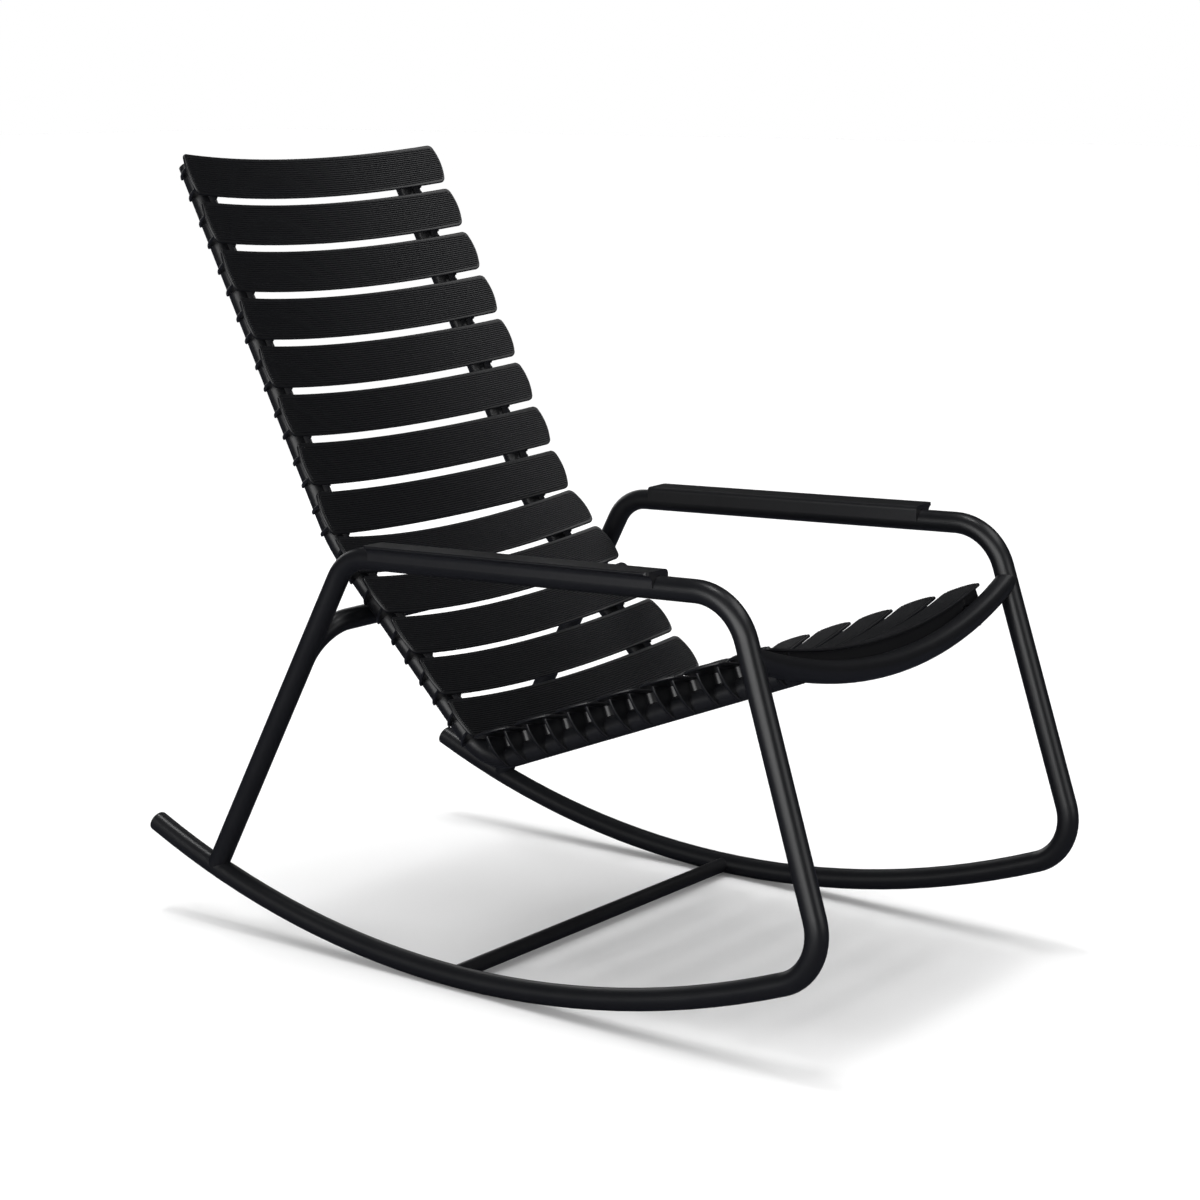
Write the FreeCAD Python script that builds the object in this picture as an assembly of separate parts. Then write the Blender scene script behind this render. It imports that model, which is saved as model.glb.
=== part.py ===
# Rocking chair with two bent side frames, two bent rails and moulded slats.
# Millimetres, +Z up. The chair faces -Y and is symmetric about the YZ plane, so
# the sitter's left is +X. It is drawn with the line where the runners touch the
# floor as y = 0, z = 0, and set on the middle of its own footprint at the end.
import FreeCAD, Part
import math
import os

V = FreeCAD.Vector

# Tubes
TUBE_DIA = 25.0
TUBE_WALL = 1.5
WELD_GAP = 0.05

# Distance of the runners' contact line behind the middle of the footprint
CONTACT_LINE_Y = 4.91

# Side frames: one tube each, bent in a plane that leans in towards the seat
FRAME_CLEARANCE = 45.1
FRAME_LEAN = 0.974
RUNNER_RADIUS = 1209.5
RUNNER_REAR_ANGLE = 23.1
RUNNER_BEND = 60.0
FRONT_LEG_LEAN = 18.1
ARM_FRONT_Y = -374.3
ARM_FRONT_Z = 490.8
ARM_REAR_Y = 154.8
ARM_REAR_Z = 470.6
ARM_FRONT_BEND = 64.5
ARM_REAR_BEND = 51.5
REAR_LEG_LEAN = 28.25

# Rails: one bent tube each side, carrying the slats of the seat and the back
SLAT_OVERHANG = 43.0
SEAT_RISE = 21.45
SEAT_BEND = 58.0
SEAT_LENGTH = 449.0
RAIL_BELOW_CROSS = 1.8509
RAIL_SHORT_OF_CROSS = 0.6922
LOWER_BACK_LEAN = 44.9
LOWER_BACK_LENGTH = 323.2
BACK_BEND = 179.0
UPPER_BACK_LEAN = 28.0
UPPER_BACK_LENGTH = 485.3

# Cross tubes
FRONT_CROSS_HEIGHT = 428.3
FRONT_CROSS_SAG = 47.9
FRONT_CROSS_BOW = 12.3
REAR_CROSS_BEND = 49.0
ROCKER_BAR_DIA = 18.0

# Tube plugs
PLUG_HEAD = 2.5
PLUG_DOME = 2.0
PLUG_STEM_LENGTH = 14.0
PLUG_FIT = 0.1

# Slats: thin sagging plates with two ribs below that end in fins round the rail
SLAT_LENGTH = 448.0
SLAT_WIDTH = 52.7
SLAT_THICKNESS = 3.0
SLAT_SAG_RADIUS = 924.0
SLAT_HEIGHT = 8.5
SLAT_END_BULGE = 5.2
SLAT_CORNER = 8.0
SLAT_RIM = 1.4
SLAT_UNDER_RIM = 0.8
RIB_SPACING = 28.0
RIB_THICKNESS = 3.0
RIB_DEPTH = 5.0
FIN_THICKNESS = 3.8
FIN_TOP_INSET = 13.0
FIN_TIP_DROP = 9.0
FIN_TIP_DIA = 3.0
FIN_TIP_TURN = 46.0
FIN_INNER_RUN = 34.0
FIN_INNER_BULGE = 1.8
FIN_EDGE = 1.4
FIN_ROOT = 2.2
WEB_THICKNESS = 3.2
WEB_STEP = 2.6
WEB_OUTER_BLEND = 6.0
WEB_INNER_BLEND = 3.0
WEB_BEAD_DIA = 3.0
WEB_BEAD_PITCH = 4.4
WEB_BEAD_COUNT = 3
WEB_BEAD_START = 6.4
SLAT_SEAT_GAP = 0.15
WEB_END_GAP = 0.6
SKIRT_INSET = 4.5
SKIRT_THICKNESS = 2.6
SKIRT_DEPTH = 14.0
SKIRT_END_GAP = 12.0
SKIRT_NOTCH_ROOM = 2.25

# Places of the slats along the rails: the first and last slat's distance from the
# ends of each straight run, and the pitch that the run is divided by
TOP_SLAT_OFFSET = 25.6
ABOVE_KNEE_OFFSET = 28.5
UPPER_PITCH = 61.6
BELOW_KNEE_OFFSET = 37.5
ABOVE_CORNER_OFFSET = 48.5
LOWER_PITCH = 59.3
SEAT_SLAT_OFFSET = 48.4
FRONT_SLAT_OFFSET = 31.0
SEAT_PITCH = 61.6

# Arm pads: moulded channels that sit over the arms
PAD_SETBACK = 93.3
PAD_LENGTH = 392.0
PAD_TOP = 18.3
PAD_OUTER_REACH = 23.1
PAD_LIP = 3.4
PAD_COVE = 7.0
PAD_INNER_CORNER = 5.0
PAD_FLANGE_WALL = 1.6
PAD_FLANGE_BOTTOM = 0.6
PAD_LIP_CORNER = 5.0
PAD_GAP = 0.15

TUBE_R = TUBE_DIA / 2
RAIL_HALF_SPACING = SLAT_LENGTH / 2 - SLAT_OVERHANG
FRAME_HALF_WIDTH = SLAT_LENGTH / 2 + FRAME_CLEARANCE


def on_line(start, direction, distance):
    """Point at a distance from start along a unit direction."""
    return start + direction * distance


def meet(p, d, q, e):
    """Point where two lines in the YZ plane cross."""
    k = ((q.y - p.y) * e.z - (q.z - p.z) * e.y) / (d.y * e.z - d.z * e.y)
    return p + d * k


def rounded_path(points, radii):
    """Edges of a polyline in space whose inner corners are arcs."""
    edges = []
    start = points[0]
    for before, corner, after, radius in zip(points, points[1:], points[2:], radii):
        into = (corner - before).normalize()
        out = (after - corner).normalize()
        turn = into.getAngle(out)
        reach = radius * math.tan(turn / 2)
        first = corner - into * reach
        last = corner + out * reach
        inward = (out - into).normalize()
        middle = corner + inward * (radius / math.cos(turn / 2) - radius)
        edges.append(Part.LineSegment(start, first).toShape())
        edges.append(Part.Arc(first, middle, last).toShape())
        start = last
    edges.append(Part.LineSegment(start, points[-1]).toShape())
    return edges


def tube(edges, radius=TUBE_R):
    """Round bar swept along a smooth chain of edges."""
    path = Part.Wire(edges)
    first = path.OrderedEdges[0]
    start = path.OrderedVertexes[0].Point
    tangent = first.tangentAt(first.FirstParameter)
    if start.distanceToPoint(first.valueAt(first.FirstParameter)) > radius:
        tangent = first.tangentAt(first.LastParameter) * -1
    ring = Part.Wire([Part.Circle(start, tangent, radius).toShape()])
    return path.makePipeShell([ring], True, False)


def mirrored(shape):
    """The same piece on the other side of the chair."""
    return shape.mirror(V(0, 0, 0), V(1, 0, 0))


# Side frame lines, in the frame's own YZ plane

RUNNER_CENTRE = V(0, 0, RUNNER_RADIUS)
RUNNER_AXIS_R = RUNNER_RADIUS - TUBE_R
ARM_FRONT = V(0, ARM_FRONT_Y, ARM_FRONT_Z)
ARM_REAR = V(0, ARM_REAR_Y, ARM_REAR_Z)
ARM_AXIS = (ARM_FRONT - ARM_REAR).normalize()
FRONT_LEG_AXIS = V(0, -math.sin(math.radians(FRONT_LEG_LEAN)), -math.cos(math.radians(FRONT_LEG_LEAN)))
REAR_LEG_AXIS = V(0, math.sin(math.radians(REAR_LEG_LEAN)), -math.cos(math.radians(REAR_LEG_LEAN)))


def runner_point(angle):
    """Point of the runner's axis at an angle behind its lowest point."""
    a = math.radians(angle)
    return RUNNER_CENTRE + V(0, math.sin(a), -math.cos(a)) * RUNNER_AXIS_R


def down_to_circle(start, axis, radius):
    """Point where a leg running down from start reaches a circle about the runner's centre."""
    offset = start - RUNNER_CENTRE
    along = offset.dot(axis)
    return start + axis * (-along + math.sqrt(along ** 2 - offset.dot(offset) + radius ** 2))


def side_frame_outline():
    """Edges of the long bend: runner, front leg, arm and rear leg."""
    inward = V(0, -FRONT_LEG_AXIS.z, FRONT_LEG_AXIS.y)
    bend_centre = down_to_circle(ARM_FRONT + inward * RUNNER_BEND, FRONT_LEG_AXIS,
                                 RUNNER_AXIS_R - RUNNER_BEND)
    leg_foot = bend_centre - inward * RUNNER_BEND
    outward = (bend_centre - RUNNER_CENTRE).normalize()
    runner_front = bend_centre + outward * RUNNER_BEND
    bend_middle = bend_centre + (outward - inward).normalize() * RUNNER_BEND
    front_angle = math.degrees(math.asin(outward.y))
    runner_middle = runner_point((RUNNER_REAR_ANGLE + front_angle) / 2)
    rear_foot = down_to_circle(ARM_REAR, REAR_LEG_AXIS, RUNNER_AXIS_R)
    edges = [Part.Arc(runner_point(RUNNER_REAR_ANGLE), runner_middle, runner_front).toShape()]
    edges.append(Part.Arc(runner_front, bend_middle, leg_foot).toShape())
    edges += rounded_path([leg_foot, ARM_FRONT, ARM_REAR, rear_foot], [ARM_FRONT_BEND, ARM_REAR_BEND])
    return edges


def stand(shape):
    """Lean a left frame piece inwards about its runner's axis and move it out to its place."""
    placed = shape.copy()
    placed.rotate(V(0, 0, TUBE_R), V(0, 1, 0), -FRAME_LEAN)
    placed.translate(V(FRAME_HALF_WIDTH, 0, 0))
    return placed


def stand_point(point):
    """Where a point of the frame's own plane ends up on the left frame."""
    a = math.radians(FRAME_LEAN)
    up = point.z - TUBE_R
    return V(FRAME_HALF_WIDTH - up * math.sin(a), point.y, TUBE_R + up * math.cos(a))


def plug_socket(mouth, outward):
    """Bore in a tube's end that takes a plug's stem."""
    return Part.makeCylinder(TUBE_R - TUBE_WALL, PLUG_STEM_LENGTH + PLUG_FIT, mouth, outward * -1)


def plug(mouth, outward):
    """Domed plug that closes a tube's end."""
    stem = Part.makeCylinder(TUBE_R - TUBE_WALL - PLUG_FIT, PLUG_STEM_LENGTH, mouth, outward * -1)
    head = Part.makeCylinder(TUBE_R, PLUG_HEAD, mouth, outward)
    rim = [e for e in head.Edges if e.BoundBox.Center.distanceToPoint(mouth) > PLUG_HEAD / 2
           and len(e.Vertexes) == 1]
    return head.makeFillet(PLUG_DOME, rim).fuse(stem).removeSplitter()


def rear_leg_room():
    """Room that the left rear leg takes, with the weld's gap all round."""
    foot = down_to_circle(ARM_REAR, REAR_LEG_AXIS, RUNNER_AXIS_R)
    length = ARM_REAR.distanceToPoint(foot)
    return stand(Part.makeCylinder(TUBE_R + WELD_GAP, length, ARM_REAR, REAR_LEG_AXIS))


def side_frame():
    """Left side frame with the rear leg's foot welded on its runner."""
    edges = side_frame_outline()
    hoop = tube(edges[:-1])
    rear_leg = tube(edges[-1:])
    mouth = runner_point(RUNNER_REAR_ANGLE)
    tangent = V(0, math.cos(math.radians(RUNNER_REAR_ANGLE)), math.sin(math.radians(RUNNER_REAR_ANGLE)))
    body = hoop.fuse(rear_leg).cut(plug_socket(mouth, tangent))
    return stand(body), stand(plug(mouth, tangent))


# Front cross tube: an arc between the front legs, bowed down and forwards

CROSS_END = stand_point(ARM_FRONT + FRONT_LEG_AXIS * ((ARM_FRONT_Z - FRONT_CROSS_HEIGHT) / -FRONT_LEG_AXIS.z))
CROSS_DEPTH = math.hypot(FRONT_CROSS_BOW, FRONT_CROSS_SAG)
CROSS_RADIUS = (CROSS_END.x ** 2 + CROSS_DEPTH ** 2) / (2 * CROSS_DEPTH)


def front_cross_point(x):
    """Point of the front cross tube's axis at a distance from the chair's middle."""
    share = 1 - (CROSS_RADIUS - math.sqrt(CROSS_RADIUS ** 2 - x ** 2)) / CROSS_DEPTH
    return V(x, CROSS_END.y - FRONT_CROSS_BOW * share, CROSS_END.z - FRONT_CROSS_SAG * share)


# Rail lines, in the rail's own YZ plane; the seat runs up to the front cross tube

SEAT_AXIS = V(0, -math.cos(math.radians(SEAT_RISE)), math.sin(math.radians(SEAT_RISE)))
LOWER_AXIS = V(0, math.sin(math.radians(LOWER_BACK_LEAN)), math.cos(math.radians(LOWER_BACK_LEAN)))
UPPER_AXIS = V(0, math.sin(math.radians(UPPER_BACK_LEAN)), math.cos(math.radians(UPPER_BACK_LEAN)))
CROSS_AT_RAIL = front_cross_point(RAIL_HALF_SPACING)
BELOW_SEAT = V(0, -SEAT_AXIS.z, SEAT_AXIS.y)
RAIL_FRONT = (V(0, CROSS_AT_RAIL.y, CROSS_AT_RAIL.z) + BELOW_SEAT * RAIL_BELOW_CROSS
              - SEAT_AXIS * RAIL_SHORT_OF_CROSS)
SEAT_CORNER = on_line(RAIL_FRONT, SEAT_AXIS, -SEAT_LENGTH)
KNEE = on_line(SEAT_CORNER, LOWER_AXIS, LOWER_BACK_LENGTH)
RAIL_TOP = on_line(KNEE, UPPER_AXIS, UPPER_BACK_LENGTH)


def rail_bar(radius=TUBE_R):
    """Left rail, its front end running to the axis of the front cross tube."""
    side = V(RAIL_HALF_SPACING, 0, 0)
    points = [p + side for p in (RAIL_TOP, KNEE, SEAT_CORNER, RAIL_FRONT)]
    return tube(rounded_path(points, [BACK_BEND, SEAT_BEND]), radius)


def rail(front_cross):
    """Left rail, coped on the front cross tube and bored for its top plug."""
    mouth = RAIL_TOP + V(RAIL_HALF_SPACING, 0, 0)
    body = rail_bar().cut(front_cross).cut(plug_socket(mouth, UPPER_AXIS))
    return body, plug(mouth, UPPER_AXIS)


# Cross tubes

def front_cross_bar(radius=TUBE_R):
    """Cross tube below the seat's front edge, bowed down and forwards."""
    right_end = front_cross_point(-CROSS_END.x)
    return tube([Part.Arc(right_end, front_cross_point(0), CROSS_END).toShape()], radius)


def rear_cross_bar():
    """Cross tube behind the rails whose ends bend down into the rear legs."""
    behind = V(0, LOWER_AXIS.z, -LOWER_AXIS.y)
    touch = SEAT_CORNER + behind * (TUBE_DIA + WELD_GAP)
    bend = meet(touch, LOWER_AXIS, ARM_REAR, REAR_LEG_AXIS)
    corner = stand_point(bend)
    lower = stand_point(bend + REAR_LEG_AXIS * 2 * REAR_CROSS_BEND)
    points = [V(-lower.x, lower.y, lower.z), V(-corner.x, corner.y, corner.z), corner, lower]
    return tube(rounded_path(points, [REAR_CROSS_BEND, REAR_CROSS_BEND]))


def rocker_bar():
    """Thin bar that ties the two runners together at their lowest point."""
    return Part.makeCylinder(ROCKER_BAR_DIA / 2, 2 * FRAME_HALF_WIDTH,
                             V(-FRAME_HALF_WIDTH, 0, TUBE_R), V(1, 0, 0))


# Slat, in its own frame: x along its length, y up the rail, z out of the rail,
# with the rails' axes at z = 0

HALF_LENGTH = SLAT_LENGTH / 2
HALF_WIDTH = SLAT_WIDTH / 2
HALF_FIN = FIN_THICKNESS / 2
FIN_ROW = RIB_SPACING / 2
LEVEL_ROOM = SLAT_THICKNESS / 6


def sag_circle(depth):
    """Radius of the circle that lies a depth below the slat's top face."""
    return SLAT_SAG_RADIUS + depth


def surface(x, depth):
    """Height of the slat's section at x, a depth below its top face."""
    return SLAT_HEIGHT + SLAT_SAG_RADIUS - math.sqrt(sag_circle(depth) ** 2 - x ** 2)


def band(half_length, top, bottom, y_low, y_high):
    """Strip that follows the slat's sag between two depths and two edges."""
    corners = [V(x, y_low, surface(x, d)) for x, d in
               ((-half_length, top), (half_length, top), (half_length, bottom), (-half_length, bottom))]
    edges = [Part.Arc(corners[0], V(0, y_low, surface(0, top)), corners[1]).toShape(),
             Part.LineSegment(corners[1], corners[2]).toShape(),
             Part.Arc(corners[2], V(0, y_low, surface(0, bottom)), corners[3]).toShape(),
             Part.LineSegment(corners[3], corners[0]).toShape()]
    return Part.Face(Part.Wire(edges)).extrude(V(0, y_high - y_low, 0))


def slat_plan():
    """Outline of a slat from above: straight sides, bulged ends, round corners."""
    x_side = HALF_LENGTH - SLAT_END_BULGE
    low = [V(-x_side, -HALF_WIDTH, 0), V(x_side, -HALF_WIDTH, 0)]
    high = [V(x_side, HALF_WIDTH, 0), V(-x_side, HALF_WIDTH, 0)]
    edges = [Part.LineSegment(low[0], low[1]).toShape(),
             Part.Arc(low[1], V(HALF_LENGTH, 0, 0), high[0]).toShape(),
             Part.LineSegment(high[0], high[1]).toShape(),
             Part.Arc(high[1], V(-HALF_LENGTH, 0, 0), low[0]).toShape()]
    prism = Part.Face(Part.Wire(edges)).extrude(V(0, 0, HALF_LENGTH))
    uprights = [e for e in prism.Edges if e.BoundBox.ZLength > HALF_LENGTH / 2]
    return prism.makeFillet(SLAT_CORNER, uprights)


def middle_of(edge):
    """Point half-way along an edge."""
    return edge.valueAt((edge.FirstParameter + edge.LastParameter) / 2)


def round_rim(shape, depth, radius):
    """Round the plate's rim that lies a depth below its top face."""
    level = [e for e in shape.Edges if abs(middle_of(e).z - surface(middle_of(e).x, depth)) < LEVEL_ROOM]
    return shape.makeFillet(radius, level)


def plate():
    """Sagging plate with rounded rims."""
    blank = band(HALF_LENGTH + SLAT_CORNER, 0, SLAT_THICKNESS, -HALF_WIDTH, HALF_WIDTH)
    cut = blank.common(slat_plan())
    return round_rim(round_rim(cut, 0, SLAT_RIM), SLAT_THICKNESS, SLAT_UNDER_RIM)


def fin_face(y):
    """Outline of one fin: tapering down outside the rail and up again inside it."""
    tip_r = FIN_TIP_DIA / 2
    tip = V(RAIL_HALF_SPACING + math.sqrt(TUBE_R ** 2 - FIN_TIP_DROP ** 2) + tip_r, y, -FIN_TIP_DROP)
    turn = math.radians(FIN_TIP_TURN)
    leave = V(math.cos(turn), 0, -math.sin(turn))
    outer_tip = tip + leave * tip_r
    top_out = HALF_LENGTH - FIN_TOP_INSET
    outer_top = V(top_out, y, surface(top_out, SLAT_THICKNESS / 2))
    span = outer_top - outer_tip
    outer_r = span.dot(span) / (-2 * span.dot(leave))
    outer_centre = outer_tip - leave * outer_r
    outer_mid = outer_centre + ((outer_top + outer_tip) * 0.5 - outer_centre).normalize() * outer_r
    tip_low = tip - V(0, 0, tip_r)
    tip_in = tip - V(tip_r, 0, 0)
    tip_up = V(tip_in.x, y, 0)
    across = V(RAIL_HALF_SPACING - TUBE_R - FIN_TIP_DIA, y, 0)
    inner_x = RAIL_HALF_SPACING - FIN_INNER_RUN
    inner_top = V(inner_x, y, surface(inner_x, SLAT_THICKNESS + RIB_DEPTH))
    inner_mid = (across + inner_top) * 0.5 - V(FIN_INNER_BULGE, 0, 0)
    inner_up = V(inner_x, y, surface(inner_x, SLAT_THICKNESS / 2))
    top_mid_x = (inner_x + top_out) / 2
    edges = [Part.Arc(outer_top, outer_mid, outer_tip).toShape(),
             Part.Arc(outer_tip, tip_low, tip_in).toShape(),
             Part.LineSegment(tip_in, tip_up).toShape(),
             Part.LineSegment(tip_up, across).toShape(),
             Part.Arc(across, inner_mid, inner_top).toShape(),
             Part.LineSegment(inner_top, inner_up).toShape(),
             Part.Arc(inner_up, V(top_mid_x, y, surface(top_mid_x, SLAT_THICKNESS / 2)), outer_top).toShape()]
    return Part.Face(Part.Wire(edges))


def fin(y):
    """One fin with its outer edges rounded."""
    blank = fin_face(y - HALF_FIN).extrude(V(0, FIN_THICKNESS, 0))
    tall = [e for e in blank.Edges if e.BoundBox.ZLength > RIB_DEPTH]
    outer = [e for e in tall if middle_of(e).x > RAIL_HALF_SPACING + TUBE_R]
    return blank.makeFillet(FIN_EDGE, outer)


def hollow_corner(corner, along, up, radius):
    """Face that fills a corner between two directions with a hollow quarter round."""
    a = corner + along * radius
    b = corner + up * radius
    middle = corner + (along + up) * radius * (1 - math.sqrt(0.5))
    edges = [Part.LineSegment(corner, a).toShape(), Part.Arc(a, middle, b).toShape(),
             Part.LineSegment(b, corner).toShape()]
    return Part.Face(Part.Wire(edges))


def fin_root(y, side):
    """Blend between one side of a fin and the plate's underside."""
    corner = V(0, y + side * HALF_FIN, surface(0, SLAT_THICKNESS))
    section = hollow_corner(corner, V(0, side, 0), V(0, 0, -1), FIN_ROOT)
    middle = V(0, 0, SLAT_HEIGHT + SLAT_SAG_RADIUS)
    first = math.degrees(math.asin((RAIL_HALF_SPACING - FIN_INNER_RUN) / sag_circle(SLAT_THICKNESS)))
    last = math.degrees(math.asin((HALF_LENGTH - FIN_TOP_INSET - FIN_EDGE) / sag_circle(SLAT_THICKNESS)))
    section.rotate(middle, V(0, -1, 0), first)
    return section.revolve(middle, V(0, -1, 0), last - first)


def web_blend(y, side, outward, radius):
    """Upright blend between one side of a fin and a face of the web."""
    corner = V(RAIL_HALF_SPACING + outward * WEB_THICKNESS / 2, y + side * HALF_FIN, 0)
    section = hollow_corner(corner, V(outward, 0, 0), V(0, side, 0), radius)
    return section.extrude(V(0, 0, surface(corner.x, SLAT_THICKNESS / 2)))


def web_beads(tail):
    """Upright beads on the outer face of the web's tail, and a short one by the slat's edge."""
    x = RAIL_HALF_SPACING + WEB_THICKNESS / 2
    under = surface(RAIL_HALF_SPACING, SLAT_THICKNESS)
    r = WEB_BEAD_DIA / 2
    beads = [Part.makeCylinder(r, WEB_BEAD_DIA, V(x - r / 2, -HALF_WIDTH, under - WEB_BEAD_DIA))]
    for i in range(WEB_BEAD_COUNT):
        y = -HALF_WIDTH - WEB_BEAD_START - i * WEB_BEAD_PITCH
        if y - r > -tail:
            beads.append(Part.makeCylinder(r, under - WEB_STEP, V(x - r / 2, y, 0)))
    return beads


def web(tail):
    """Wall that stands on the rail between the fins and runs on under the next slat."""
    x = RAIL_HALF_SPACING - WEB_THICKNESS / 2
    under = surface(x, SLAT_THICKNESS)
    inside = under + SLAT_THICKNESS / 2
    y_fin = FIN_ROW
    y_edge = -HALF_WIDTH + SLAT_RIM
    points = [V(x, y_fin, 0), V(x, y_fin, inside), V(x, y_edge, inside)]
    if tail > HALF_WIDTH:
        points += [V(x, y_edge - WEB_STEP, under - WEB_STEP), V(x, -tail, under - WEB_STEP), V(x, -tail, 0)]
    else:
        points += [V(x, -y_fin - FIN_THICKNESS, 0)]
    return Part.Face(Part.makePolygon(points + points[:1])).extrude(V(WEB_THICKNESS, 0, 0))


def slat(tail, skirt=False):
    """Whole slat before it is cut to the rails."""
    half_ribs = RAIL_HALF_SPACING - FIN_INNER_RUN + RIB_DEPTH
    ribs = []
    left = [web(tail)]
    for y, side in ((FIN_ROW, -1), (-FIN_ROW, 1)):
        ribs.append(band(half_ribs, SLAT_THICKNESS / 2, SLAT_THICKNESS + RIB_DEPTH,
                         y - RIB_THICKNESS / 2, y + RIB_THICKNESS / 2))
        left += [fin(y), fin_root(y, -1), fin_root(y, 1)]
        left.append(web_blend(y, side, 1, WEB_OUTER_BLEND))
        left.append(web_blend(y, side, -1, WEB_INNER_BLEND))
    if tail > HALF_WIDTH:
        left.append(web_blend(-FIN_ROW, -1, 1, WEB_OUTER_BLEND))
        left += web_beads(tail)
    pieces = ribs + left + [mirrored(piece) for piece in left]
    if skirt:
        front = -HALF_WIDTH + SKIRT_INSET
        skirt_band = band(HALF_LENGTH - SKIRT_END_GAP, SLAT_THICKNESS / 2, SLAT_THICKNESS + SKIRT_DEPTH,
                          front, front + SKIRT_THICKNESS)
        notch = Part.makeCylinder(TUBE_R + SKIRT_NOTCH_ROOM, 2 * SKIRT_THICKNESS,
                                  V(RAIL_HALF_SPACING, front - SKIRT_THICKNESS / 2, 0), V(0, 1, 0))
        pieces.append(skirt_band.cut(notch).cut(mirrored(notch)))
    return plate().multiFuse(pieces).removeSplitter()


def place(shape, corner, axis, distance):
    """Set a slat on the rails at a distance down one straight run from its start."""
    origin = corner + axis * distance
    y_axis = axis * -1
    z_axis = V(1, 0, 0).cross(y_axis)
    frame = FreeCAD.Matrix(1, 0, 0, origin.x, 0, y_axis.y, z_axis.y, origin.y,
                           0, y_axis.z, z_axis.z, origin.z, 0, 0, 0, 1)
    moved = shape.copy()
    moved.Placement = FreeCAD.Placement(frame)
    return moved


def arm_pad():
    """Left arm pad: a channel over the arm with a lip on its outer side."""
    r = TUBE_R + PAD_GAP
    low = PAD_FLANGE_BOTTOM
    seat = math.sqrt(r ** 2 - low ** 2)
    wall = r + PAD_FLANGE_WALL
    lip_r = PAD_LIP / 2
    lip_x = PAD_OUTER_REACH - lip_r
    under = PAD_TOP - PAD_LIP
    c = PAD_INNER_CORNER
    k = math.sqrt(0.5)

    def at(x, z):
        return V(x, 0, z)

    edges = [Part.Arc(at(seat, low), at(0, r), at(-seat, low)),
             Part.LineSegment(at(-seat, low), at(-wall, low)),
             Part.LineSegment(at(-wall, low), at(-wall, PAD_TOP - c)),
             Part.Arc(at(-wall, PAD_TOP - c), at(-wall + c - c * k, PAD_TOP - c + c * k),
                      at(-wall + c, PAD_TOP)),
             Part.LineSegment(at(-wall + c, PAD_TOP), at(lip_x, PAD_TOP)),
             Part.Arc(at(lip_x, PAD_TOP), at(PAD_OUTER_REACH, PAD_TOP - lip_r), at(lip_x, under)),
             Part.LineSegment(at(lip_x, under), at(wall + PAD_COVE, under)),
             Part.Arc(at(wall + PAD_COVE, under), at(wall + PAD_COVE * (1 - k), under - PAD_COVE * (1 - k)),
                      at(wall, under - PAD_COVE)),
             Part.LineSegment(at(wall, under - PAD_COVE), at(wall, low)),
             Part.LineSegment(at(wall, low), at(seat, low))]
    section = Part.Face(Part.Wire([e.toShape() for e in edges]))
    bar = section.extrude(V(0, PAD_LENGTH, 0))
    reach = V(PAD_OUTER_REACH, 0, 0)
    for end, inward in ((0, 1), (PAD_LENGTH, -1)):
        corner = hollow_corner(reach + V(0, end, 0), V(-1, 0, 0), V(0, inward, 0), PAD_LIP_CORNER)
        bar = bar.cut(corner.extrude(V(0, 0, PAD_TOP)))
    back = ARM_AXIS * -1
    bar.rotate(V(0, 0, 0), V(1, 0, 0), math.degrees(math.atan2(back.z, back.y)))
    bar.translate(on_line(ARM_FRONT, back, PAD_SETBACK / back.y))
    return stand(bar)


def spread(length, first, last, pitch):
    """How many slats a straight run takes at about a pitch, and the even step between them."""
    span = length - first - last
    gaps = max(1, round(span / pitch))
    return gaps + 1, round(span / gaps, 6)


def slat_runs():
    """Name, start of the run, its axis, distance down it and tail of every slat in turn."""
    to_seat = WEB_END_GAP + (RIB_SPACING + FIN_THICKNESS) / 2
    web_top = surface(RAIL_HALF_SPACING, SLAT_THICKNESS)
    knee_loss = 2 * web_top * math.tan(math.radians(LOWER_BACK_LEAN - UPPER_BACK_LEAN) / 2)
    runs = []
    upper_count, step = spread(UPPER_BACK_LENGTH, TOP_SLAT_OFFSET, ABOVE_KNEE_OFFSET, UPPER_PITCH)
    over_knee = ABOVE_KNEE_OFFSET + BELOW_KNEE_OFFSET - knee_loss
    for i in range(upper_count):
        tail = (over_knee if i == upper_count - 1 else step) - to_seat
        runs.append(("back_slat_%02d" % (i + 1), RAIL_TOP, UPPER_AXIS * -1, TOP_SLAT_OFFSET + i * step, tail))
    lower_count, step = spread(LOWER_BACK_LENGTH, BELOW_KNEE_OFFSET, ABOVE_CORNER_OFFSET, LOWER_PITCH)
    for i in range(lower_count):
        tail = 0 if i == lower_count - 1 else step - to_seat
        runs.append(("back_slat_%02d" % (upper_count + i + 1), KNEE, LOWER_AXIS * -1,
                     BELOW_KNEE_OFFSET + i * step, tail))
    seat_count, step = spread(SEAT_LENGTH, SEAT_SLAT_OFFSET, FRONT_SLAT_OFFSET, SEAT_PITCH)
    for i in range(seat_count):
        tail = 0 if i == seat_count - 1 else step - to_seat
        runs.append(("seat_slat_%d" % (i + 1), SEAT_CORNER, SEAT_AXIS, SEAT_SLAT_OFFSET + i * step, tail))
    return runs


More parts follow.
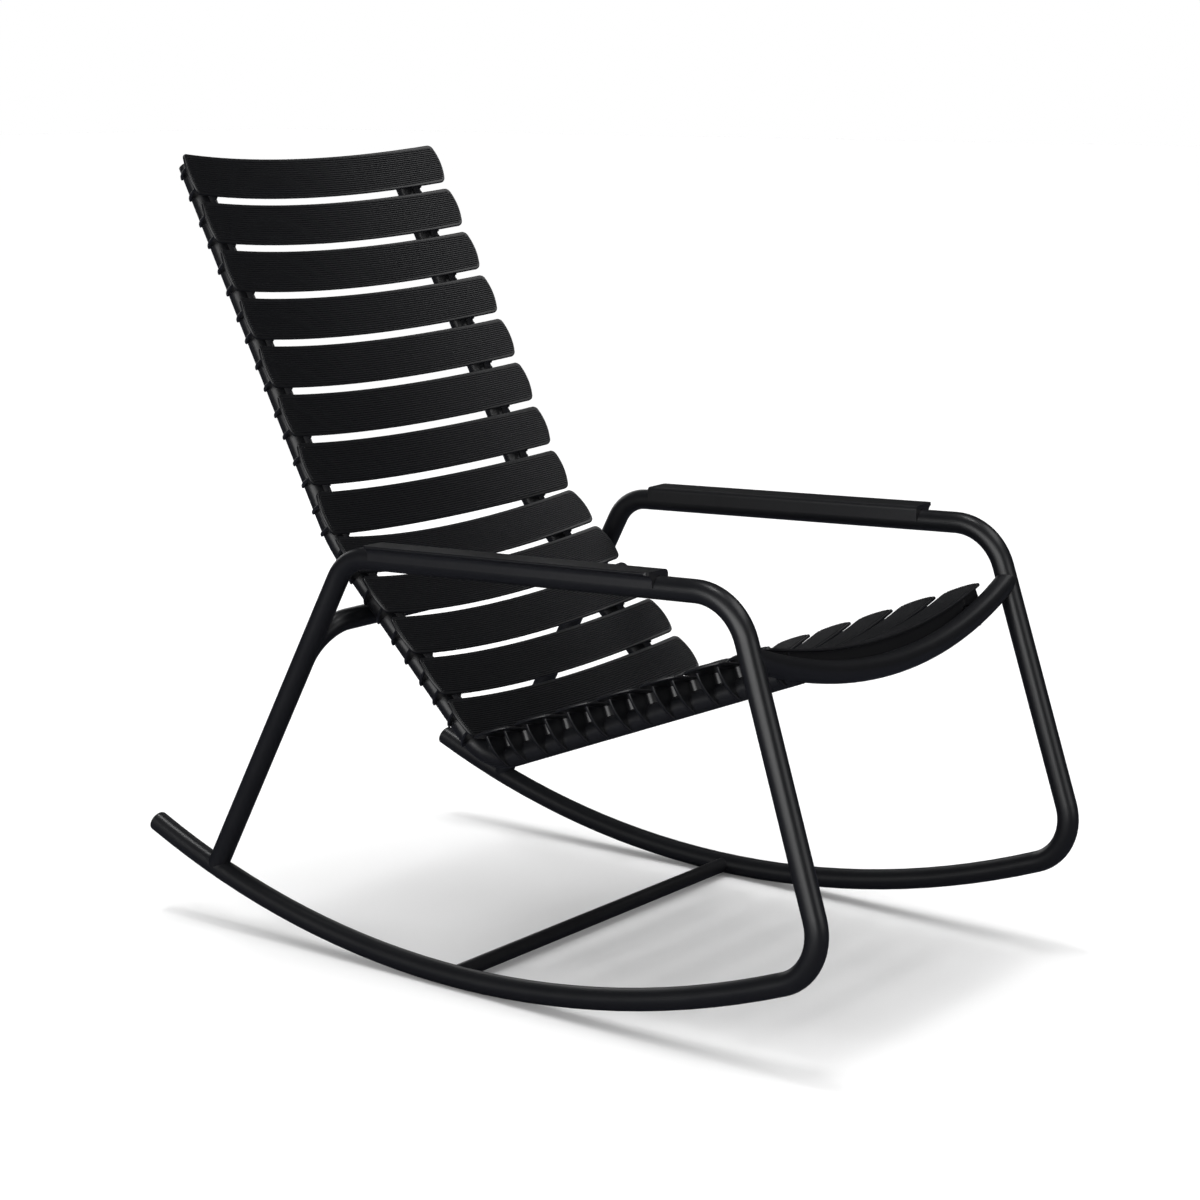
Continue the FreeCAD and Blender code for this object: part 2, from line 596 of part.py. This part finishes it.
def build():
    """All pieces by name."""
    pieces = {}
    frame_left, plug_left = side_frame()
    frame_right = mirrored(frame_left)
    pieces["side_frame_left"] = frame_left
    pieces["side_frame_right"] = frame_right
    front_cross = front_cross_bar().cut(frame_left).cut(frame_right)
    pieces["front_cross_tube"] = front_cross
    leg_room = rear_leg_room()
    pieces["rear_cross_tube"] = rear_cross_bar().cut(leg_room).cut(mirrored(leg_room))
    pieces["rocker_bar"] = rocker_bar().cut(frame_left).cut(frame_right)
    rail_left, rail_plug = rail(front_cross)
    pieces["rail_left"] = rail_left
    pieces["rail_right"] = mirrored(rail_left)
    for name, shape in (("runner_plug", plug_left), ("rail_plug", rail_plug), ("arm_pad", arm_pad())):
        pieces[name + "_left"] = shape
        pieces[name + "_right"] = mirrored(shape)
    seat_bar = rail_bar(TUBE_R + SLAT_SEAT_GAP)
    bars = [seat_bar, mirrored(seat_bar)]
    skirt_clear = front_cross_bar(TUBE_R + SLAT_SEAT_GAP)
    runs = slat_runs()
    plain = {}
    for index, (name, corner, axis, distance, tail) in enumerate(runs):
        front = index == len(runs) - 1
        key = (tail, front)
        if key not in plain:
            plain[key] = slat(*key)
        seated = place(plain[key], corner, axis, distance)
        for bar in bars + ([skirt_clear] if front else []):
            seated = seated.cut(bar)
        pieces[name] = seated
    return pieces


def main():
    os.makedirs("parts", exist_ok=True)
    for name, shape in build().items():
        print(name, len(shape.Solids), "solid", round(shape.Volume), "mm3", "valid", shape.isValid())
        solid = shape.Solids[0]
        solid.translate(V(0, CONTACT_LINE_Y, 0))
        solid.exportStep("parts/%s.step" % name)


main()
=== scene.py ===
import bpy
import math
from mathutils import Matrix, Vector


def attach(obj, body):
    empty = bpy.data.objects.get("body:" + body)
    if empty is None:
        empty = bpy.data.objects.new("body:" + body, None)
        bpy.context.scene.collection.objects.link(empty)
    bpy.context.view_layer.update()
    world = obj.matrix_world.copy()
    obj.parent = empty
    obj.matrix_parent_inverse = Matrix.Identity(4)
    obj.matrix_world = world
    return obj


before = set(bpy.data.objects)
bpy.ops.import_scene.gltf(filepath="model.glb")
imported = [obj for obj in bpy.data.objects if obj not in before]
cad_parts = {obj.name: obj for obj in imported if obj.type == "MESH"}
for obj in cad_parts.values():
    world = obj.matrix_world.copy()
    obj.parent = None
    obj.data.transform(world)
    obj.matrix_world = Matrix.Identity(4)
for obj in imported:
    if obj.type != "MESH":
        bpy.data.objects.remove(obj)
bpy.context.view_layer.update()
scene = bpy.context.scene
print("frame loaded:", len(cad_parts), "nodes")


# camera, floor and sky; places in metres, angles in degrees
studio = {
    "cameraPlace": (-2.4137, -1.8522, 1.0106),
    "cameraTilt": 78.631,      # from straight down
    "cameraTurn": -52.467,
    "lens": 79.64,
    "sensorWidth": 36.0,
    "clipEnd": 60.0,
    "floorSize": 60.0,
    "floorTone": (0.86, 0.86, 0.86, 1),
    "floorMirrored": (0.037, 0.039, 0.052, 1),     # as the object reflects it
    "floorRough": 0.9,
    "skyTone": (1.0, 1.0, 1.0, 1),
    "skySeen": 1.0,            # as the camera sees it
    "skyLight": 0.49,          # as it lights the floor
    "skyMirrored": 0.02,       # as the object reflects it
}


def clearSelection():
    if bpy.context.object and bpy.context.object.mode != "OBJECT":
        bpy.ops.object.mode_set(mode="OBJECT")
    bpy.ops.object.select_all(action="DESELECT")


def newMaterial(name):
    material = bpy.data.materials.new(name)
    material.use_nodes = True
    tree = material.node_tree
    return material, tree.nodes, tree.links, tree.nodes["Principled BSDF"]


clearSelection()
bpy.ops.object.camera_add(location=studio["cameraPlace"],
                          rotation=(math.radians(studio["cameraTilt"]), 0,
                                    math.radians(studio["cameraTurn"])))
camera = bpy.context.object
camera.name = "photoCamera"
camera.data.lens = studio["lens"]
camera.data.sensor_width = studio["sensorWidth"]
camera.data.clip_end = studio["clipEnd"]
scene.camera = camera

clearSelection()
bpy.ops.mesh.primitive_plane_add(size=studio["floorSize"], location=(0, 0, 0))
floor = bpy.context.object
floor.name = "studioFloor"

# pale to the eye, dark as the black tubes mirror it
floorMaterial, nodes, links, shader = newMaterial("studioPaper")
floorPath = nodes.new("ShaderNodeLightPath")
floorMix = nodes.new("ShaderNodeMix")
floorMix.data_type = "RGBA"
floorMix.inputs["A"].default_value = studio["floorTone"]
floorMix.inputs["B"].default_value = studio["floorMirrored"]
links.new(floorPath.outputs["Is Glossy Ray"], floorMix.inputs["Factor"])
links.new(floorMix.outputs["Result"], shader.inputs["Base Color"])
shader.inputs["Roughness"].default_value = studio["floorRough"]
shader.inputs["Specular IOR Level"].default_value = 0.0
floor.data.materials.append(floorMaterial)

world = bpy.data.worlds.new("studioWorld")
scene.world = world
world.use_nodes = True
nodes, links = world.node_tree.nodes, world.node_tree.links
background = nodes["Background"]
background.inputs["Color"].default_value = studio["skyTone"]
lightPath = nodes.new("ShaderNodeLightPath")
mirroredSky = nodes.new("ShaderNodeMapRange")
mirroredSky.inputs["To Min"].default_value = studio["skyLight"]
mirroredSky.inputs["To Max"].default_value = studio["skyMirrored"]
seenSky = nodes.new("ShaderNodeMapRange")
seenSky.inputs["To Max"].default_value = studio["skySeen"]
links.new(lightPath.outputs["Is Glossy Ray"], mirroredSky.inputs["Value"])
links.new(mirroredSky.outputs["Result"], seenSky.inputs["To Min"])
links.new(lightPath.outputs["Is Camera Ray"], seenSky.inputs["Value"])
links.new(seenSky.outputs["Result"], background.inputs["Strength"])

topLights = {       # shine almost straight down; the broad one shows in no reflection
    "broadTop": {"tilt": -13, "strength": 1.78, "softness": 45, "mirrored": False},
    "sharpTop": {"tilt": -9, "strength": 0.4, "softness": 6, "mirrored": True},
}
for lampName, lamp in topLights.items():
    clearSelection()
    bpy.ops.object.light_add(type="SUN", location=(0, 0, 3),
                             rotation=(math.radians(lamp["tilt"]), 0, 0))
    light = bpy.context.object
    light.name = lampName
    light.data.energy = lamp["strength"]
    light.data.angle = math.radians(lamp["softness"])
    light.visible_glossy = lamp["mirrored"]

# soft boxes round the chair, turned from +X; each faces the middle of the seat
lampAim = Vector((0, 0, 0.4))
lamps = {
    "cameraSide": {"turn": 190, "distance": 3.4, "height": 0.9, "size": (4.2, 2.2), "power": 80},
    "frontAbove": {"turn": 294, "distance": 2.0, "height": 3.2, "size": (3.0, 1.4), "power": 26},
    "frontLow": {"turn": 275, "distance": 3.2, "height": 1.0, "size": (1.7, 1.5), "power": 10},
    "behind": {"turn": 62, "distance": 3.4, "height": 1.3, "size": (2.4, 1.6), "power": 12},
}
for lampName, lamp in lamps.items():
    clearSelection()
    turn = math.radians(lamp["turn"])
    bpy.ops.object.light_add(type="AREA", location=(lamp["distance"] * math.cos(turn),
                                                    lamp["distance"] * math.sin(turn),
                                                    lamp["height"]))
    light = bpy.context.object
    light.name = lampName
    light.data.shape = "RECTANGLE"
    light.data.size, light.data.size_y = lamp["size"]
    light.data.energy = lamp["power"]
    light.visible_camera = False
    light.rotation_euler = (lampAim - light.location).to_track_quat("-Z", "Y").to_euler()
scene.view_settings.view_transform = "Standard"
print("studio ready")


# shared effects: node groups that put out only masks, values and heights
effects = {
    "grainFineDetail": 3.0,
    "grainCoarseDetail": 2.0,
    "grainCoarseScale": 0.17,      # of the fine grain's scale
    "unevenDetail": 4.0,
    "unevenRoughness": 0.6,
    "dustDetail": 5.0,
    "dustRoughness": 0.7,
    "dustFalloff": 2.0,            # higher keeps the dust to flatter faces
    "wearGain": 9.0,
    "wearScale": 220.0,
    "wearDetail": 3.0,
}


def newGroup(name, inputs, output):
    group = bpy.data.node_groups.new(name, "ShaderNodeTree")
    for label, value in inputs.items():
        socket = group.interface.new_socket(label, in_out="INPUT", socket_type="NodeSocketFloat")
        socket.default_value = value
    group.interface.new_socket(output, in_out="OUTPUT", socket_type="NodeSocketFloat")
    start = group.nodes.new("NodeGroupInput")
    end = group.nodes.new("NodeGroupOutput")
    return group, start, end


def mathNode(tree, operation, first, second):
    node = tree.nodes.new("ShaderNodeMath")
    node.operation = operation
    for slot, value in enumerate((first, second)):
        if isinstance(value, float):
            node.inputs[slot].default_value = value
        else:
            tree.links.new(value, node.inputs[slot])
    return node.outputs[0]


def noiseNode(tree, scale, detail, roughness=0.5):
    node = tree.nodes.new("ShaderNodeTexNoise")
    node.inputs["Detail"].default_value = detail
    node.inputs["Roughness"].default_value = roughness
    place = tree.nodes.new("ShaderNodeTexCoord")
    tree.links.new(place.outputs["Object"], node.inputs["Vector"])
    if isinstance(scale, float):
        node.inputs["Scale"].default_value = scale
    else:
        tree.links.new(scale, node.inputs["Scale"])
    return node.outputs["Fac"]


def makeGrainGroup():
    group, start, end = newGroup("fineGrain", {"Scale": 900.0, "Coarse Share": 0.3}, "Height")
    fine = noiseNode(group, start.outputs["Scale"], effects["grainFineDetail"])
    coarseScale = mathNode(group, "MULTIPLY", start.outputs["Scale"], effects["grainCoarseScale"])
    coarse = noiseNode(group, coarseScale, effects["grainCoarseDetail"])
    weighted = mathNode(group, "MULTIPLY", coarse, start.outputs["Coarse Share"])
    group.links.new(mathNode(group, "ADD", fine, weighted), end.inputs["Height"])
    return group


def makeUnevenGroup():
    group, start, end = newGroup("unevenFinish", {"Scale": 14.0, "Low": 0.4, "High": 0.6}, "Value")
    cloud = noiseNode(group, start.outputs["Scale"], effects["unevenDetail"],
                      effects["unevenRoughness"])
    spread = mathNode(group, "SUBTRACT", start.outputs["High"], start.outputs["Low"])
    raised = mathNode(group, "MULTIPLY", cloud, spread)
    group.links.new(mathNode(group, "ADD", raised, start.outputs["Low"]), end.inputs["Value"])
    return group


def makeDustGroup():
    group, start, end = newGroup("settledDust", {"Amount": 0.06, "Scale": 60.0}, "Mask")
    geometry = group.nodes.new("ShaderNodeNewGeometry")
    split = group.nodes.new("ShaderNodeSeparateXYZ")
    group.links.new(geometry.outputs["Normal"], split.inputs[0])
    upward = mathNode(group, "MAXIMUM", split.outputs["Z"], 0.0)
    flat = mathNode(group, "POWER", upward, effects["dustFalloff"])
    specks = noiseNode(group, start.outputs["Scale"], effects["dustDetail"],
                       effects["dustRoughness"])
    laid = mathNode(group, "MULTIPLY", flat, specks)
    amount = mathNode(group, "MULTIPLY", laid, start.outputs["Amount"])
    group.links.new(amount, end.inputs["Mask"])
    return group


def makeWearGroup():
    group, start, end = newGroup("edgeWear", {"Amount": 0.3}, "Mask")
    geometry = group.nodes.new("ShaderNodeNewGeometry")
    sharp = mathNode(group, "SUBTRACT", geometry.outputs["Pointiness"], 0.5)
    gained = mathNode(group, "MULTIPLY", sharp, effects["wearGain"])
    edge = mathNode(group, "MAXIMUM", gained, 0.0)
    broken = noiseNode(group, effects["wearScale"], effects["wearDetail"])
    rubbed = mathNode(group, "MULTIPLY", edge, broken)
    amount = mathNode(group, "MULTIPLY", rubbed, start.outputs["Amount"])
    group.links.new(amount, end.inputs["Mask"])
    return group


fineGrain = makeGrainGroup()
unevenFinish = makeUnevenGroup()
settledDust = makeDustGroup()
edgeWear = makeWearGroup()
print("effects ready")


def useGroup(tree, group, values):
    node = tree.nodes.new("ShaderNodeGroup")
    node.node_tree = group
    for label, value in values.items():
        node.inputs[label].default_value = value
    return node.outputs[0]


def blackFinish(name, look):
    material, nodes, links, shader = newMaterial(name)
    tree = material.node_tree
    dust = useGroup(tree, settledDust, {"Amount": look["dust"], "Scale": look["dustScale"]})
    wear = useGroup(tree, edgeWear, {"Amount": look["wear"]})
    uneven = useGroup(tree, unevenFinish, {"Scale": look["unevenScale"],
                                           "Low": look["roughLow"], "High": look["roughHigh"]})
    grain = useGroup(tree, fineGrain, {"Scale": look["grainScale"],
                                       "Coarse Share": look["grainCoarse"]})
    worn = nodes.new("ShaderNodeMix")
    worn.data_type = "RGBA"
    worn.inputs["A"].default_value = look["tone"]
    worn.inputs["B"].default_value = look["wornTone"]
    links.new(wear, worn.inputs["Factor"])
    dusty = nodes.new("ShaderNodeMix")
    dusty.data_type = "RGBA"
    dusty.inputs["B"].default_value = look["dustTone"]
    links.new(worn.outputs["Result"], dusty.inputs["A"])
    links.new(dust, dusty.inputs["Factor"])
    links.new(dusty.outputs["Result"], shader.inputs["Base Color"])
    links.new(uneven, shader.inputs["Roughness"])
    bump = nodes.new("ShaderNodeBump")
    bump.inputs["Strength"].default_value = look["grainStrength"]
    bump.inputs["Distance"].default_value = look["grainHeight"]
    links.new(grain, bump.inputs["Height"])
    links.new(bump.outputs["Normal"], shader.inputs["Normal"])
    shader.inputs["Specular IOR Level"].default_value = look["specular"]
    return material


tubeLook = {     # satin powder coat over steel
    "tone": (0.0037, 0.0040, 0.0053, 1), "wornTone": (0.05, 0.05, 0.053, 1), "wear": 0.10,
    "dustTone": (0.20, 0.20, 0.20, 1), "dust": 0.02, "dustScale": 70.0,
    "unevenScale": 18.0, "roughLow": 0.30, "roughHigh": 0.42, "specular": 0.65,
    "grainScale": 750.0, "grainCoarse": 0.5, "grainStrength": 0.35, "grainHeight": 0.00012,
}
slatLook = {     # moulded plastic, dead black with a low sheen
    "tone": (0.0030, 0.0032, 0.0044, 1), "wornTone": (0.035, 0.035, 0.037, 1), "wear": 0.12,
    "dustTone": (0.20, 0.20, 0.20, 1), "dust": 0.025, "dustScale": 55.0,
    "unevenScale": 9.0, "roughLow": 0.31, "roughHigh": 0.39, "specular": 0.8,
    "grainScale": 1300.0, "grainCoarse": 0.2, "grainStrength": 0.3, "grainHeight": 0.00008,
}
ridgeLook = dict(slatLook, roughLow=0.32, roughHigh=0.40)     # the slats' grip lines
padLook = dict(slatLook, roughLow=0.32, roughHigh=0.42, grainScale=1100.0)
plugLook = dict(slatLook, roughLow=0.45, roughHigh=0.6, grainScale=1600.0)

finishes = {
    "tube": blackFinish("satinPowderCoat", tubeLook),
    "slat": blackFinish("mouldedSlatPlastic", slatLook),
    "ridge": blackFinish("mouldedGripPlastic", ridgeLook),
    "pad": blackFinish("armPadPlastic", padLook),
    "plug": blackFinish("plugPlastic", plugLook),
}
finishOfNode = {     # by how the CAD nodes' names start
    "tube": ("side_frame", "front_cross", "rear_cross", "rocker_bar", "rail_left", "rail_right"),
    "slat": ("back_slat", "seat_slat"),
    "pad": ("arm_pad",),
    "plug": ("runner_plug", "rail_plug"),
}
for nodeName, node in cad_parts.items():
    for finish, starts in finishOfNode.items():
        if nodeName.startswith(starts):
            for materialSlot in node.material_slots:
                materialSlot.material = finishes[finish]
print("finishes ready")


# lines of the rails, in metres and degrees, and the slats' places along them
rails = {
    "seatCorner": (0.02151, 0.2366),   # y and z of the bend between seat and back
    "seatRise": 21.45,
    "lowerLean": 44.9,                 # of the back below its knee, from upright
    "lowerLength": 0.3232,
    "upperLean": 28.0,
    "upperLength": 0.4853,
}


def leaningAxis(lean):
    return Vector((0, math.sin(math.radians(lean)), math.cos(math.radians(lean))))


seatCorner = Vector((0, *rails["seatCorner"]))
lowerAxis = leaningAxis(rails["lowerLean"])
upperAxis = leaningAxis(rails["upperLean"])
knee = seatCorner + lowerAxis * rails["lowerLength"]
railTop = knee + upperAxis * rails["upperLength"]
seatRise = math.radians(rails["seatRise"])
seatAxis = Vector((0, -math.cos(seatRise), math.sin(seatRise)))

slatRuns = (
    {"name": "back_slat_%02d", "from": 1, "count": 8, "start": railTop, "along": -upperAxis,
     "first": 0.0256, "pitch": 0.0616},
    {"name": "back_slat_%02d", "from": 9, "count": 5, "start": knee, "along": -lowerAxis,
     "first": 0.0375, "pitch": 0.0593},
    {"name": "seat_slat_%d", "from": 1, "count": 7, "start": seatCorner, "along": seatAxis,
     "first": 0.0484, "pitch": 0.0616},
)


# a slat's own frame: x across the chair, y up the rail, z out of the slat's face
def slatMatrix(origin, direction):
    upRail = -direction
    outward = Vector((1, 0, 0)).cross(upRail)
    return Matrix(((1, 0, 0, origin.x), (0, upRail.y, outward.y, origin.y),
                   (0, upRail.z, outward.z, origin.z), (0, 0, 0, 1)))


slatMatrices = {}
for run in slatRuns:
    for i in range(run["count"]):
        origin = run["start"] + run["along"] * (run["first"] + i * run["pitch"])
        slatMatrices[run["name"] % (run["from"] + i)] = slatMatrix(origin, run["along"])
print("places of", len(slatMatrices), "slats")


# fine grip lines along the slats' top faces, in metres
ridges = {
    "count": 17,
    "pitch": 0.00282,       # at the slat's middle
    "drawnIn": 1.48,        # share by which they close up, per square metre from the middle
    "width": 0.0028,
    "rise": 0.001,          # above the slat's face
    "sink": 0.0008,         # below it
    "segments": 24,
    "sides": 10,
    "slatLength": 0.448,
    "slatWidth": 0.0527,
    "endBulge": 0.0052,
    "corner": 0.008,
    "rim": 0.0028,          # left plain round the slat's edge
    "sagRadius": 0.924,
    "faceHeight": 0.0085,   # of the slat's middle above the rails' axes
    "smoothAngle": 50,
}


# how far a line reaches from the middle, measured along the sagging face
def ridgeHalfLength(across):
    halfWidth = ridges["slatWidth"] / 2
    bulge = ridges["endBulge"]
    endRadius = (halfWidth ** 2 + bulge ** 2) / (2 * bulge)
    reach = ridges["slatLength"] / 2 - endRadius + math.sqrt(endRadius ** 2 - across ** 2)
    inset = ridges["corner"] - ridges["rim"]
    beyond = abs(across) - (halfWidth - ridges["corner"])
    if beyond > 0:
        reach -= inset - math.sqrt(max(inset ** 2 - beyond ** 2, 0))
    chord = reach - ridges["rim"]
    return ridges["sagRadius"] * math.asin(chord / ridges["sagRadius"])


# one unit line, 2 long and 1 thick, cut into segments so that it can sag
def makeRidge():
    clearSelection()
    bpy.ops.mesh.primitive_cylinder_add(vertices=ridges["sides"], radius=0.5, depth=2.0,
                                        end_fill_type="NGON", rotation=(0, math.radians(90), 0))
    ridge = bpy.context.object
    bpy.ops.object.transform_apply(location=False, rotation=True, scale=False)
    bpy.ops.object.mode_set(mode="EDIT")
    for cut in range(1, ridges["segments"]):
        bpy.ops.mesh.select_all(action="SELECT")
        bpy.ops.mesh.bisect(plane_co=(-1 + 2 * cut / ridges["segments"], 0, 0),
                            plane_no=(1, 0, 0))
    bpy.ops.object.mode_set(mode="OBJECT")
    return ridge


def makeRidgeField():
    master = makeRidge()
    copies = []
    high = ridges["rise"] + ridges["sink"]
    middle = (ridges["rise"] - ridges["sink"]) / 2
    for i in range(ridges["count"]):
        across = (i - (ridges["count"] - 1) / 2) * ridges["pitch"]
        copy = master.copy()
        copy.data = master.data.copy()
        scene.collection.objects.link(copy)
        copy.location = (0, middle, across)
        copy.scale = (ridgeHalfLength(across), high, ridges["width"])
        copies.append(copy)
    clearSelection()
    for copy in copies:
        copy.select_set(True)
    bpy.context.view_layer.objects.active = copies[0]
    bpy.ops.object.join()
    field = bpy.context.object
    bpy.ops.object.transform_apply(location=True, rotation=True, scale=True)
    # the lines close up towards the slat's ends
    for vertex in field.data.vertices:
        vertex.co.z *= 1 - ridges["drawnIn"] * vertex.co.x ** 2
    reaches = [vertex.co.x for vertex in field.data.vertices]
    sag = field.modifiers.new("sag", "SIMPLE_DEFORM")
    sag.deform_method = "BEND"
    sag.deform_axis = "Z"
    sag.angle = (max(reaches) - min(reaches)) / ridges["sagRadius"]
    bpy.ops.object.modifier_apply(modifier=sag.name)
    bpy.data.objects.remove(master)
    field.location = (0, 0, ridges["faceHeight"])
    field.rotation_euler = (math.radians(90), 0, 0)
    bpy.ops.object.transform_apply(location=True, rotation=True, scale=True)
    bpy.ops.object.shade_smooth_by_angle(angle=math.radians(ridges["smoothAngle"]))
    field.data.materials.clear()
    field.data.materials.append(finishes["ridge"])
    return field


ridgeField = makeRidgeField()
print("grip lines modelled, field of", [round(size, 4) for size in ridgeField.dimensions])
for slatName, matrix in slatMatrices.items():
    piece = ridgeField.copy()
    piece.data = ridgeField.data.copy()
    piece.name = "grip_ridges_" + slatName
    scene.collection.objects.link(piece)
    piece.data.transform(matrix)
    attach(piece, "root")
bpy.data.objects.remove(ridgeField)
print("grip lines on", len(slatMatrices), "slats")
